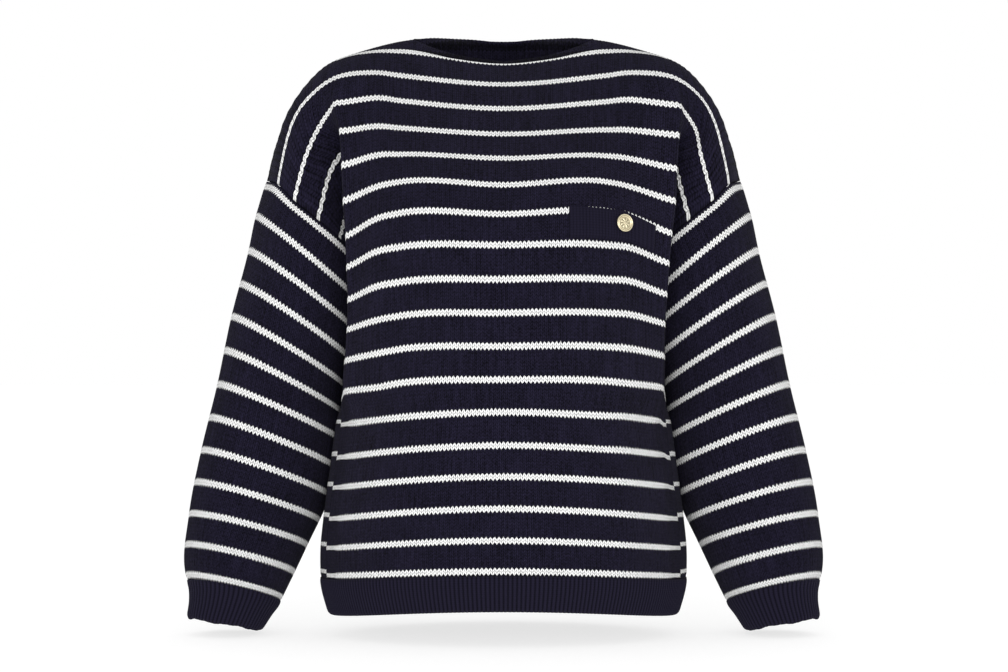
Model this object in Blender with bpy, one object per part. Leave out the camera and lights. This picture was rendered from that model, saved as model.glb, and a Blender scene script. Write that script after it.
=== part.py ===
"""Striped jumper: a long-sleeved boat-neck knit, filled out as if worn, with open neck, hem and cuffs.

Millimetres in the tables and sizes below, metres in the scene. +Z is up and the front faces -Y.
The origin is where the wearer's shoulders hold the jumper: on the middle plane, level with the collar line.
A place on the cloth is given by its course (distance down from the first white stripe) and its wale
(distance across from the middle). Tables give the outer face of the cloth, and out is the distance
from the middle plane, so one table serves both sides.
"""
import math

import bmesh
import bpy
import numpy as np
from mathutils import Matrix, Vector

MM = 0.001

# Sizes of the cloth
WALL = 2.4
SEAM_GAP = 0.3
ARMHOLE_GAP = 0.42
RIB_HEIGHT = 0.8
HEM_RIBS = 240
CUFF_RIBS = 52
PANEL_END = 285.0
HEM_SEAM = 572.5
HEM_BOTTOM = 619.0
UNDERARM = 197.0
CUFF_SEAM = 380.0
CUFF_BOTTOM = 428.0

# Sizes of the pocket band and its button
BAND_WALES = (68.0, 158.5)
BAND_BOTTOM = 228.5
# The band's top edge. Rows: wale, course
BAND_TOP = ((68, 195.6), (82, 196.0), (92, 197.6), (115, 197.6), (126, 196.2), (138, 198.4), (158.5, 199.6))
BAND_WALL = 2.0
BAND_RIBS = 26
BAND_ROWS = 4
BAND_RIB_HEIGHT = 0.5
BUTTON_PLACE = (128.5, 211.0)
BUTTON_RADIUS = 9.0
BUTTON_FACE = 2.6
BUTTON_RIM = 0.7
SHANK_RADIUS = 2.6
SHANK_LENGTH = 1.4
ROPE_BEADS = 18

# Each line runs down the cloth at one wale. Rows: course, out, depth, height
FRONT_CENTRE = (
    (-3, 0, -3, -24), (33, 0, -30, -51), (67, 0, -52, -79), (100, 0, -73, -107), (134, 0, -94, -134),
    (167, 0, -113, -162), (200, 0, -128, -192), (234, 0, -138, -224), (267, 0, -143, -258),
    (334, 0, -142, -325), (367, 0, -141, -358),
)
FRONT_MID = (
    (-18, 109, 13, 0.5), (0, 109, 0, -13), (33, 108, -23, -41), (67, 107, -43, -70), (100, 106, -64, -100),
    (134, 105, -83, -129), (167, 105, -99, -158), (200, 105, -109, -190), (234, 105, -113, -225),
    (267, 104, -114, -260), (334, 104, -113, -328), (367, 105, -112, -362),
)
FRONT_BROW = (
    (-15, 134, 12, -5.5), (0, 136, 0, -13), (33, 135, -24, -38), (67, 134, -43, -67), (100, 133, -61, -98),
    (134, 132, -78, -130), (167, 131, -90, -163), (200, 131, -98, -196), (234, 131, -100, -230),
    (267, 131, -100, -265), (334, 131, -97, -333), (367, 131, -95, -367),
)
FRONT_CREST = (
    (-11, 167, 9, -16.5), (0, 169, 1, -19), (33, 172, -26, -42), (67, 176, -42, -73), (100, 170, -58, -103),
    (134, 167, -68, -140), (167, 165, -76, -177), (200, 162, -80, -213), (234, 161, -80, -245),
    (267, 160, -78, -278), (301, 161, -74, -309), (334, 162, -71, -340), (367, 161, -71, -371),
)
FRONT_VALLEY = (
    (-8, 195, 7, -31.5), (0, 197, 0, -35), (33, 199, -26, -59), (67, 192, -32, -95), (100, 164, -26, -113),
    (134, 153, -28, -158), (167, 148, -36, -190), (200, 145, -42, -221), (234, 146, -45, -252),
    (267, 149, -52, -284), (301, 156, -56, -315), (334, 163, -58, -345), (367, 166, -60, -375),
)
FRONT_DROP = (
    (-5, 229, 4, -79), (0, 230, -2, -81), (33, 222, -28, -92), (67, 206, -41, -128), (100, 181, -32, -142),
    (134, 164, -25, -184), (167, 151, -28, -208), (200, 144, -26, -234), (234, 147, -27, -264),
    (267, 151, -33, -295), (301, 158, -40, -324), (334, 164, -46, -352), (367, 168, -50, -380),
)
BACK_CENTRE = (
    (-10, 0, 74, 7), (33, 0, 90, -33), (67, 0, 98, -65), (100, 0, 104, -98), (167, 0, 108, -165),
    (234, 0, 108, -232), (301, 0, 108, -299), (367, 0, 110, -365),
)
BACK_MID = (
    (-18, 109, 13, 0.5), (33, 107, 50, -31), (67, 106, 68, -58), (100, 106, 79, -89), (134, 106, 85, -122),
    (167, 106, 88, -155), (234, 106, 90, -222), (301, 106, 90, -289), (367, 105, 91, -355),
)
BACK_BLADE = (
    (-11, 167, 9, -16.5), (33, 172, 36, -51), (67, 173, 50, -80), (100, 172, 58, -110),
    (134, 170, 62, -142), (167, 168, 64, -174), (234, 164, 63, -240), (301, 162, 60, -307),
    (367, 161, 55, -370),
)
BACK_VALLEY = (
    (-8, 195, 7, -31.5), (33, 195, 32, -66), (67, 188, 41, -98), (100, 178, 46, -128), (134, 166, 50, -162),
    (167, 157, 50, -192), (200, 151, 46, -222), (234, 152, 42, -252), (301, 162, 36, -314),
    (367, 166, 34, -377),
)
BACK_DROP = (
    (-5, 229, 4, -79), (33, 219, 31, -96), (67, 204, 41, -130), (100, 186, 44, -156), (134, 167, 40, -188),
    (167, 154, 33, -211), (200, 148, 21, -235), (234, 152, 16, -264), (301, 162, 6, -320),
    (367, 169.5, -2, -380),
)
# Half of the armhole seam, from its top to the underarm; the back half is its mirror image
ARMHOLE = (
    (-3, 252, 0, -150), (33, 237, -34, -156), (67, 218, -46, -174), (100, 193, -50, -194),
    (134, 170, -42, -213), (167, 156, -24, -230), (197, 148, 0, -242),
)
SIDE_SEAM = (
    (197, 148, 0, -242), (234, 151.5, -6, -274), (267, 156, -14, -303), (301, 161, -24, -330),
    (334, 165, -33, -356), (367, 169, -40, -381),
)
# The lower body is a ring at each course
# Rows: course, half width, front depth, back depth, front height, side height, back height
LOWER_BODY = (
    (401, 177.5, 139, 113, -391, -409, -398), (434, 182, 137, 117, -424, -443, -431),
    (468, 186.5, 134, 121, -456, -475, -464), (501, 190.5, 131, 125, -488, -507, -497),
    (534, 193.5, 127, 128, -520, -537, -529), (567, 193.5, 122, 127, -551, -565, -561),
    (577, 193, 121, 126.5, -561, -574, -571), (619, 184.5, 112, 118, -595, -609, -613),
)
# How far each line has turned round the lower body, in degrees from the middle of its own panel
FRONT_TURNS = {"centre": 0, "mid": 34.5, "brow": 45, "crest": 60, "valley": 65.5, "drop": 69.5}
BACK_TURNS = {"centre": 0, "mid": 35, "blade": 64, "valley": 77, "drop": 92}
SIDE_TURN = 73.5

# Rows: wale, course, out, depth, height. The last row of each rim is the neck point of the shoulder
FRONT_RIM = ((0, -3, 0, -3, -24), (52, -4, 51.5, 1, -15.5), (80, -10, 79, 8, -6), (97, -18, 97, 14, 2.5))
BACK_RIM = ((0, -10, 0, 74, 7), (52, -10, 52, 66, 7), (80, -13, 79, 44, 5.5), (97, -18, 97, 14, 2.5))
SHOULDER = (
    (97, -18, 97, 14, 2.5), (110, -18, 109, 13, 0.5), (137, -15, 134, 12, -5.5), (172, -11, 167, 9, -16.5),
    (205, -8, 195, 7, -31.5), (245, -5, 229, 4, -79), (265, -4, 243, 2, -113), (285, -3, 252, 0, -150),
)
# How the front differs on the photo's right: the fold under the arm lies further out, and the cloth sits
# a little lower above it and higher below it. Rows: course, fold out, up
RIGHT_SIDE = (
    (-11, 0, 0), (33, 3, 0), (67, 8, -2), (100, 12, -4), (134, 12, -3.5), (167, 12, 0), (200, 11, 3),
    (234, 9, 4), (267, 8, 5.5), (301, 5, 6), (334, 2, 5), (367, 0, 4), (401, 0, 3), (434, 0, 2),
    (501, 0, 0),
)

# Rows down the sleeve: course, outer out, outer height, inner out, inner height, half depth, front lift,
# inner back. The inner side lies further back than the outer one, behind the body's side
SLEEVE = (
    (31, 262, -188, 156, -274, 54, 6, 0), (63, 270, -226, 160.5, -306, 54, 8, 5),
    (125, 288, -295, 170.5, -367, 52, 9, 24), (188, 303, -367, 176.5, -425, 50, 9, 30),
    (250, 320, -436.5, 187, -485, 48, 11, 33), (313, 333, -504.5, 210.5, -538.5, 45, 11.5, 25),
    (376, 336, -570, 236, -593, 42, 11, 8), (386, 333, -580.5, 239.5, -600, 41.5, 10.5, 6),
    (402, 332, -593, 246, -609, 40, 8, 3), (428, 334.8, -614, 258, -628, 36, 5, 0),
)
SLEEVE_TOP = -6.0

# Beside the crest of the fold under the arm the cloth runs straight, so that the crest is sharp
# Rows: course, sharpness from 0 to 1
FOLD_SHARPNESS = ((33, 0), (67, 1), (267, 1), (334, 0.3), (401, 0))
CREST_WALE = 172
FLANK_REACH = 8.0

# Where the grids of the panels have their points
ARMHOLE_STEPS = 12
TOP_BAND = 33.0
LOWER_COURSES = (225, 254, 283, 312, 341, 370, 401, 434, 468, 501, 534, 556, HEM_SEAM)
FRONT_WALES = (0, 26, 52, 80, 97, 120, 140, 154, 164, CREST_WALE, 180, 190, 205, 222, 245, 266, PANEL_END)
BACK_WALES = (0, 26, 52, 80, 97, 122, 147, 172, 190, 212, 240, 265, PANEL_END)
SLEEVE_COURSES = (10, 31, 63, 94, 125, 156, 188, 219, 250, 281, 313, 345, 366, CUFF_SEAM)
BAND_RINGS = 3

DOWN = (0.0, 0.0, -1.0)

NAVY = (0.0152, 0.0137, 0.0262)
NAVY_RIB = (0.0116, 0.0103, 0.0203)
BRASS = (0.80, 0.66, 0.38)


def slopes(places, points):
    """Slope of a smooth curve at each of its points, whose places may be unevenly spaced."""
    steps = np.diff(places)
    chords = np.diff(points, axis=0) / steps[:, None]
    result = np.empty_like(points)
    result[0] = chords[0]
    result[-1] = chords[-1]
    before = steps[:-1, None]
    after = steps[1:, None]
    result[1:-1] = (after * chords[:-1] + before * chords[1:]) / (before + after)
    return result


def smooth(places, points, wanted):
    """Points at the wanted places of a smooth curve through the given ones."""
    places = np.asarray(places, float)
    points = np.asarray(points, float)
    wanted = np.atleast_1d(np.asarray(wanted, float))
    tangents = slopes(places, points)
    left = np.clip(np.searchsorted(places, wanted, side="right") - 1, 0, len(places) - 2)
    step = (places[left + 1] - places[left])[:, None]
    t = ((wanted - places[left]) / step[:, 0])[:, None]
    return (
        (2 * t**3 - 3 * t**2 + 1) * points[left]
        + (t**3 - 2 * t**2 + t) * step * tangents[left]
        + (3 * t**2 - 2 * t**3) * points[left + 1]
        + (t**3 - t**2) * step * tangents[left + 1]
    )


def at(table, place):
    """The other columns of a table at one place of its first column."""
    rows = np.array(table, float)
    return smooth(rows[:, 0], rows[:, 1:], place)[0]


def lower_body_point(course, turn):
    """Place on the lower body's ring; turn is in degrees round from the middle of the front."""
    half_width, front, back, front_height, side_height, back_height = at(LOWER_BODY, course)
    angle = math.radians(turn)
    in_front = math.cos(angle) > 0
    depth = -front * math.cos(angle) if in_front else -back * math.cos(angle)
    end_height = front_height if in_front else back_height
    height = end_height + (side_height - end_height) * math.sin(angle) ** 2
    return (half_width * math.sin(angle), depth, height)


def with_lower_rows(table, turn):
    """A line's own table, followed by its places round the lower body."""
    lower = tuple((row[0],) + lower_body_point(row[0], turn) for row in LOWER_BODY)
    return tuple(table) + lower


FRONT_LINES = {
    0: with_lower_rows(FRONT_CENTRE, FRONT_TURNS["centre"]),
    110: with_lower_rows(FRONT_MID, FRONT_TURNS["mid"]),
    140: with_lower_rows(FRONT_BROW, FRONT_TURNS["brow"]),
    172: with_lower_rows(FRONT_CREST, FRONT_TURNS["crest"]),
    205: with_lower_rows(FRONT_VALLEY, FRONT_TURNS["valley"]),
    245: with_lower_rows(FRONT_DROP, FRONT_TURNS["drop"]),
}
BACK_LINES = {
    0: with_lower_rows(BACK_CENTRE, 180 - BACK_TURNS["centre"]),
    110: with_lower_rows(BACK_MID, 180 - BACK_TURNS["mid"]),
    172: with_lower_rows(BACK_BLADE, 180 - BACK_TURNS["blade"]),
    205: with_lower_rows(BACK_VALLEY, 180 - BACK_TURNS["valley"]),
    245: with_lower_rows(BACK_DROP, 180 - BACK_TURNS["drop"]),
}
SEAM_LINE = with_lower_rows(SIDE_SEAM, SIDE_TURN)
FOLD_LINES = (172, 205)
RIGHT_SIDE_WALE = 140


def panel_end(course, is_front):
    """Place of a panel's side edge: the armhole seam, and the side seam below the underarm."""
    if course >= UNDERARM:
        return at(SEAM_LINE, course)
    out, depth, height = at(ARMHOLE, max(course, ARMHOLE[0][0]))
    return np.array((out, depth if is_front else -depth, height))


def panel_course(course, is_front):
    """Wales and places of the lines where a course crosses them, from the left end to the right."""
    lines = FRONT_LINES if is_front else BACK_LINES
    wales = list(lines)
    places = [at(lines[wale], course) for wale in wales]
    wales.append(PANEL_END)
    places.append(panel_end(course, is_front))
    right = []
    for wale, place in zip(wales, places):
        shifted = np.array(place)
        if is_front and 0 < wale < PANEL_END and course < RIGHT_SIDE[-1][0]:
            out, up = at(RIGHT_SIDE, course)
            shifted[0] += out if wale in FOLD_LINES else 0.0
            shifted[2] += up * min(1.0, wale / RIGHT_SIDE_WALE) ** 3 if wale <= FOLD_LINES[-1] else 0.0
        right.append(shifted)
    left = [np.array((-place[0], place[1], place[2])) for place in places[:0:-1]]
    all_wales = [-wale for wale in wales[:0:-1]] + wales
    if is_front:
        return with_flanks(course, all_wales, left + right)
    return all_wales, left + right


def with_flanks(course, wales, places):
    """The same course, with a point on each side of the fold's crests that makes them sharp."""
    sharpness = np.interp(course, *np.transpose(FOLD_SHARPNESS))
    flanks = []
    for crest in (-CREST_WALE, CREST_WALE):
        index = wales.index(crest)
        for step in (-1, 1):
            flank = crest + step * FLANK_REACH
            share = FLANK_REACH / abs(wales[index + step] - crest)
            straight = places[index] + (places[index + step] - places[index]) * share
            curved = smooth(wales, places, flank)[0]
            flanks.append((flank, curved + (straight - curved) * sharpness))
    points = dict(list(zip(wales, places)) + flanks)
    ordered = sorted(points)
    return ordered, [points[wale] for wale in ordered]


def top_edge(wale, is_front):
    """Course and place of a panel's top edge: the neck rim, then the shoulder seam."""
    across = abs(wale)
    rim = FRONT_RIM if is_front else BACK_RIM
    row = at(rim if across < rim[-1][0] else SHOULDER, across)
    side = -1.0 if wale < 0 else 1.0
    return row[0], np.array((side * row[1], row[2], row[3]))


def panel_point(wale, course, is_front):
    wales, places = panel_course(course, is_front)
    return smooth(wales, places, wale)[0]


def both_sides(wales):
    return [-wale for wale in wales[:0:-1]] + list(wales)


def armhole_courses():
    top = ARMHOLE[0][0]
    return [top + (UNDERARM - top) * step / ARMHOLE_STEPS for step in range(ARMHOLE_STEPS + 1)]


def panel_grid(wales, is_front):
    """Outer points of a panel, a row for each course, and the wales and courses of those points."""
    courses = armhole_courses() + list(LOWER_COURSES)
    places = []
    grid_courses = []
    for course in courses:
        row = []
        row_courses = []
        for wale in wales:
            edge_course, edge_place = top_edge(wale, is_front)
            on_cloth = course
            if course < TOP_BAND:
                share = (course - courses[0]) / (TOP_BAND - courses[0])
                on_cloth = edge_course + (TOP_BAND - edge_course) * share
            row_courses.append(on_cloth)
            if course == courses[0]:
                row.append(edge_place)
            elif abs(wale) == PANEL_END:
                end = panel_end(course, is_front)
                row.append(np.array((math.copysign(end[0], wale), end[1], end[2])))
            else:
                row.append(panel_point(wale, on_cloth, is_front))
        places.append(row)
        grid_courses.append(row_courses)
    return np.array(places), np.array(grid_courses)


def normals_of(grid, wraps, flip):
    """Unit normal at each point of a grid of rows."""
    down = np.gradient(grid, axis=0)
    if wraps:
        across = (np.roll(grid, -1, axis=1) - np.roll(grid, 1, axis=1)) / 2
    else:
        across = np.gradient(grid, axis=1)
    normal = np.cross(down, across)
    normal /= np.linalg.norm(normal, axis=2)[:, :, None]
    return -normal if flip else normal


def lean_away(inward, toward):
    """Take out of an inward direction what points at the piece across a seam."""
    toward = np.asarray(toward, float) / np.linalg.norm(toward)
    across = max(0.0, float(np.dot(inward, toward)))
    kept = inward - across * toward
    return kept / np.linalg.norm(kept)


def armhole_axis(side):
    """Direction out of the armhole, down the sleeve."""
    top = np.array(ARMHOLE[0][1:], float)
    bottom = np.array(ARMHOLE[-1][1:], float)
    across = (top - bottom) / np.linalg.norm(top - bottom)
    return np.array((side * across[2], 0.0, -across[0]))


def shell(name, outer, inner, wraps, material):
    """A closed wall between two grids of points."""
    rows, columns = outer.shape[:2]
    mesh_edit = bmesh.new()
    faces_of = []
    for grid in (outer, inner):
        faces_of.append([[mesh_edit.verts.new(Vector(point) * MM) for point in row] for row in grid])
    last = columns if wraps else columns - 1
    for row in range(rows - 1):
        for column in range(last):
            following = (column + 1) % columns
            for points in faces_of:
                mesh_edit.faces.new((
                    points[row][column], points[row][following],
                    points[row + 1][following], points[row + 1][column],
                ))
    front, back = faces_of
    for row in (0, rows - 1):
        for column in range(last):
            following = (column + 1) % columns
            mesh_edit.faces.new((
                front[row][column], back[row][column], back[row][following], front[row][following],
            ))
    if not wraps:
        for column in (0, columns - 1):
            for row in range(rows - 1):
                mesh_edit.faces.new((
                    front[row][column], front[row + 1][column], back[row + 1][column], back[row][column],
                ))
    bmesh.ops.recalc_face_normals(mesh_edit, faces=mesh_edit.faces)
    return finish(name, mesh_edit, material)


def finish(name, mesh_edit, material):
    mesh = bpy.data.meshes.new(name)
    mesh_edit.to_mesh(mesh)
    mesh_edit.free()
    for polygon in mesh.polygons:
        polygon.use_smooth = True
    mesh.materials.append(material)
    piece = bpy.data.objects.new(name, mesh)
    bpy.context.scene.collection.objects.link(piece)
    return piece


def surface(name, colour, roughness, metallic=0.0):
    material = bpy.data.materials.new(name)
    material.use_nodes = True
    shader = material.node_tree.nodes["Principled BSDF"]
    shader.inputs["Base Color"].default_value = (*colour, 1.0)
    shader.inputs["Roughness"].default_value = roughness
    shader.inputs["Metallic"].default_value = metallic
    return material


def build_panel(name, wales, is_front, material):
    """Front or back of the body; returns what the pocket band needs to lie on it."""
    wales = both_sides(wales)
    outer, courses = panel_grid(wales, is_front)
    inward = -normals_of(outer, wraps=False, flip=not is_front)
    other_panel = np.array((0.0, 1.0 if is_front else -1.0, 0.0))
    columns = len(wales)
    for column, wale in enumerate(wales):
        if abs(wale) >= SHOULDER[0][0]:
            inward[0, column] = lean_away(inward[0, column], other_panel)
            outer[0, column] -= other_panel * SEAM_GAP / 2
    for column, side in ((0, -1.0), (columns - 1, 1.0)):
        axis = armhole_axis(side)
        for row in range(ARMHOLE_STEPS + 1):
            inward[row, column] = lean_away(inward[row, column], axis)
            outer[row, column] -= axis * ARMHOLE_GAP / 2
        for row in range(ARMHOLE_STEPS, len(outer)):
            inward[row, column] = lean_away(inward[row, column], other_panel)
            outer[row, column] -= other_panel * SEAM_GAP / 2
    inward[-1] = [lean_away(direction, DOWN) for direction in inward[-1]]
    shell(name, outer, outer + inward * WALL, False, material)
    return {"wales": wales, "courses": courses, "outer": outer, "outward": -inward}


def on_panel(panel, wale, course, lift):
    """Place above a panel's own faces, and the way out of the cloth there."""
    column = int(np.clip(np.searchsorted(panel["wales"], wale) - 1, 0, len(panel["wales"]) - 2))
    row = int(np.searchsorted(panel["courses"][:, column], course) - 1)
    across = (wale - panel["wales"][column]) / (panel["wales"][column + 1] - panel["wales"][column])
    first = panel["courses"][row, column]
    down = (course - first) / (panel["courses"][row + 1, column] - first)
    result = []
    for field in (panel["outer"], panel["outward"]):
        upper = field[row, column] * (1 - across) + field[row, column + 1] * across
        lower = field[row + 1, column] * (1 - across) + field[row + 1, column + 1] * across
        result.append(upper * (1 - down) + lower * down)
    place, outward = result
    outward = outward / np.linalg.norm(outward)
    return place + outward * lift, outward


def sleeve_ring(course, turns, side):
    """Ring of places round a sleeve; a turn of 0 is its outer side, 90 its front, 180 its inner side."""
    outer_out, outer_height, inner_out, inner_height, half_depth, lift, back = at(SLEEVE, course)
    ring = []
    for turn in turns:
        angle = math.radians(turn)
        share = (1 + math.cos(angle)) / 2
        out = inner_out + (outer_out - inner_out) * share
        height = inner_height + (outer_height - inner_height) * share + lift * math.sin(angle)
        ring.append((side * out, back * (1 - share) - half_depth * math.sin(angle), height))
    return np.array(ring)


def armhole_ring(side):
    """The armhole seam as a ring of the sleeve, from its top round the front to the back."""
    half = [at(ARMHOLE, course) for course in armhole_courses()]
    front = [(side * out, depth, height) for out, depth, height in half]
    back = [(side * out, -depth, height) for out, depth, height in half[-2:0:-1]]
    return np.array(front + back)


def build_sleeve(name, side, material):
    turns = [180.0 * step / ARMHOLE_STEPS for step in range(2 * ARMHOLE_STEPS)]
    table_courses = [SLEEVE_TOP] + [row[0] for row in SLEEVE]
    rings = [armhole_ring(side)] + [sleeve_ring(course, turns, side) for course in table_courses[1:]]
    flat_rings = np.array([ring.reshape(-1) for ring in rings])
    wanted = [SLEEVE_TOP] + list(SLEEVE_COURSES)
    outer = smooth(table_courses, flat_rings, wanted).reshape(len(wanted), len(turns), 3)
    inward = -normals_of(outer, wraps=True, flip=side > 0)
    axis = armhole_axis(side)
    for column in range(len(turns)):
        inward[0, column] = lean_away(inward[0, column], -axis)
        outer[0, column] += axis * ARMHOLE_GAP / 2
    inward[-1] = [lean_away(direction, cuff_axis(side)) for direction in inward[-1]]
    shell(name, outer, outer + inward * WALL, True, material)


def ribbed_band(name, outer, away, flip, wraps, material):
    """A ribbed wall through rings of points; every second point is the crest of a rib."""
    outward = normals_of(outer, wraps, flip)
    outward[0] = [-lean_away(-direction, -np.asarray(away)) for direction in outward[0]]
    inner = outer - outward * WALL
    crests = np.arange(outer.shape[1]) % 2 == 1
    outer[:, crests] += outward[:, crests] * RIB_HEIGHT
    shell(name, outer, inner, wraps, material)


def cuff_axis(side):
    """Direction down the sleeve at the seam of its cuff."""
    turns = (0, 180)
    across = sleeve_ring(CUFF_BOTTOM, turns, side) - sleeve_ring(CUFF_SEAM, turns, side)
    return across.mean(axis=0)


def build_cuff(name, side, material):
    turns = [360.0 * step / (2 * CUFF_RIBS) for step in range(2 * CUFF_RIBS)]
    courses = np.linspace(CUFF_SEAM + SEAM_GAP, CUFF_BOTTOM, BAND_RINGS)
    outer = np.array([sleeve_ring(course, turns, side) for course in courses])
    ribbed_band(name, outer, cuff_axis(side), side > 0, True, material)


def build_hem(name, first_turn, last_turn, ribs, material):
    """Half of the hem's band, between two places given in degrees round from the front."""
    half_gap = math.degrees(SEAM_GAP / 2 / LOWER_BODY[-1][1])
    turns = np.linspace(first_turn + half_gap, last_turn - half_gap, 2 * ribs + 1)
    courses = (HEM_SEAM + SEAM_GAP, HEM_BOTTOM)
    outer = np.array([[lower_body_point(course, turn) for turn in turns] for course in courses])
    ribbed_band(name, outer, DOWN, False, False, material)


def build_pocket_band(panel, material):
    """Ribbed band that lies on the front, made from the front's own faces moved out."""
    wales = np.linspace(*BAND_WALES, 2 * BAND_RIBS + 1)
    tops = np.interp(wales, *np.transpose(BAND_TOP))
    outer = []
    inner = []
    for share in np.linspace(0, 1, BAND_ROWS):
        outer_row = []
        inner_row = []
        for index, (wale, top) in enumerate(zip(wales, tops)):
            course = top + (BAND_BOTTOM - top) * share
            rib = BAND_RIB_HEIGHT if index % 2 else 0.0
            outer_row.append(on_panel(panel, wale, course, SEAM_GAP + BAND_WALL + rib)[0])
            inner_row.append(on_panel(panel, wale, course, SEAM_GAP)[0])
        outer.append(outer_row)
        inner.append(inner_row)
    shell("pocket_band", np.array(outer), np.array(inner), False, material)


def build_button(panel, material):
    """Brass button with a raised rim, a beaded ring and a plain dome, spun round its axis."""
    lift = SEAM_GAP * 2 + BAND_WALL + BAND_RIB_HEIGHT
    place, outward = on_panel(panel, *BUTTON_PLACE, lift)
    back = SHANK_LENGTH
    face = SHANK_LENGTH + BUTTON_FACE
    # Rows: radius, height above the band
    profile = (
        (SHANK_RADIUS, 0.0), (SHANK_RADIUS, back), (0.8 * BUTTON_RADIUS, back),
        (BUTTON_RADIUS, back + 0.9), (BUTTON_RADIUS, face - 0.5), (0.95 * BUTTON_RADIUS, face),
        (0.86 * BUTTON_RADIUS, face), (0.80 * BUTTON_RADIUS, face - BUTTON_RIM),
        (0.72 * BUTTON_RADIUS, face - 0.5 * BUTTON_RIM), (0.63 * BUTTON_RADIUS, face - BUTTON_RIM),
        (0.40 * BUTTON_RADIUS, face - 0.6 * BUTTON_RIM), (0.18 * BUTTON_RADIUS, face - 0.2 * BUTTON_RIM),
    )
    bead_row = 8
    mesh_edit = bmesh.new()
    steps = 2 * ROPE_BEADS
    rings = []
    for row, (radius, height) in enumerate(profile):
        ring = []
        for step in range(steps):
            angle = 2 * math.pi * step / steps
            bead = 0.3 * BUTTON_RIM if row == bead_row and step % 2 else 0.0
            point = (radius * math.cos(angle), radius * math.sin(angle), height + bead)
            ring.append(mesh_edit.verts.new(Vector(point) * MM))
        rings.append(ring)
    for lower, upper in zip(rings, rings[1:]):
        for step in range(steps):
            following = (step + 1) % steps
            mesh_edit.faces.new((lower[step], lower[following], upper[following], upper[step]))
    mesh_edit.faces.new(rings[0][::-1])
    mesh_edit.faces.new(rings[-1])
    bmesh.ops.recalc_face_normals(mesh_edit, faces=mesh_edit.faces)
    button = finish("button", mesh_edit, material)
    turn = Vector((0, 0, 1)).rotation_difference(Vector(outward))
    button.matrix_world = Matrix.Translation(Vector(place) * MM) @ turn.to_matrix().to_4x4()


def clear_scene():
    for item in list(bpy.data.objects):
        bpy.data.objects.remove(item, do_unlink=True)


def build_jumper():
    clear_scene()
    knit = {"front_panel": NAVY, "back_panel": NAVY, "sleeve_left": NAVY, "sleeve_right": NAVY}
    cloth = {name: surface(name, colour, 0.9) for name, colour in knit.items()}
    front = build_panel("front_panel", FRONT_WALES, True, cloth["front_panel"])
    build_panel("back_panel", BACK_WALES, False, cloth["back_panel"])
    for word, side in (("left", -1.0), ("right", 1.0)):
        build_sleeve("sleeve_" + word, side, cloth["sleeve_" + word])
        build_cuff("cuff_" + word, side, surface("cuff_" + word, NAVY_RIB, 0.9))
    front_ribs = round(HEM_RIBS * SIDE_TURN / 180)
    rib_cloth = surface("hem_rib_front", NAVY_RIB, 0.9)
    build_hem("hem_rib_front", -SIDE_TURN, SIDE_TURN, front_ribs, rib_cloth)
    rib_cloth = surface("hem_rib_back", NAVY_RIB, 0.9)
    build_hem("hem_rib_back", SIDE_TURN, 360 - SIDE_TURN, HEM_RIBS - front_ribs, rib_cloth)
    build_pocket_band(front, surface("pocket_band", NAVY_RIB, 0.9))
    build_button(front, surface("button", BRASS, 0.3, metallic=1.0))


build_jumper()
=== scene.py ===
"""Striped jumper: the looks. Knitted shells, ribs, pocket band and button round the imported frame.

The tables are in millimetres and repeat the sizes of the part's source, on a finer grid. A place on the
cloth is given by its course (distance down from the first white stripe) and its wale (distance across
from the middle). The UV map named cloth holds those two distances, and the knit material reads them.
"""
import math

import bpy
import numpy as np
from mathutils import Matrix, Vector


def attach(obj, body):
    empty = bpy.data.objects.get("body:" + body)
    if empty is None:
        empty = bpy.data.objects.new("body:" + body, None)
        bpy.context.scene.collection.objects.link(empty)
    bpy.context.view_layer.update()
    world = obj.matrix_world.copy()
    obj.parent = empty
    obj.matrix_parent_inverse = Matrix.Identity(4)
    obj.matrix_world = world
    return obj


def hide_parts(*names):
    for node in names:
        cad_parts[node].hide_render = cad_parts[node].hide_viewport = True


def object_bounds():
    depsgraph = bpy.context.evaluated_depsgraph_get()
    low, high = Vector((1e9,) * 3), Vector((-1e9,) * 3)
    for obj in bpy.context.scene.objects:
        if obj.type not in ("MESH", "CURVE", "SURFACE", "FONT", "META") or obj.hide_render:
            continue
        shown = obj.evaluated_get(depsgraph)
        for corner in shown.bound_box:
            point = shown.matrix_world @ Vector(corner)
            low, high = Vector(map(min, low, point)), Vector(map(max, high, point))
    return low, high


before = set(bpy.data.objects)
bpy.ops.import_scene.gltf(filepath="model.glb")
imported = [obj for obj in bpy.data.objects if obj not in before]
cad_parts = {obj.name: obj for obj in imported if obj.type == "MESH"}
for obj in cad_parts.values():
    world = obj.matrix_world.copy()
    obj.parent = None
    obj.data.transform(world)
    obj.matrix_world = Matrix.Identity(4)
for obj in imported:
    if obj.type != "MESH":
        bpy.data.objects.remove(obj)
cad_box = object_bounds()

MM = 0.001

# The camera: the photo's scale at the garment's middle plane, and the picture's middle
PHOTO_WIDTH = 1008
PHOTO_MM_PER_PIXEL = 1.06
CAMERA_DISTANCE = 2400.0
CAMERA_HEIGHT = -314.8
SENSOR_WIDTH = 36.0

# Sizes of the cloth
WALL = 2.4
SEAM_GAP = 0.3
ARMHOLE_GAP = 0.42
STRIPE_REPEAT = 33.4
SLEEVE_REPEAT = 31.3
PANEL_END = 285.0
HEM_SEAM = 572.5
HEM_BOTTOM = 619.0
UNDERARM = 197.0
CUFF_SEAM = 380.0
CUFF_BOTTOM = 428.0
WALE = PANEL_END / 68
COURSE = STRIPE_REPEAT / 10
RIB_COURSE = 2.6
STITCH_RISE = 2.8
STRIPE_CORE = 3.0
BACK_STRIPE_SHIFT = 4.0
FRAY = 2.4
WALE_RELIEF = 0.5
EDGE_ROUND = 1.1
SEAM_OVERLAP = 0.05
SEAM_DIP = 1.1
SEAM_DIP_WIDTH = 5.0

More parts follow.
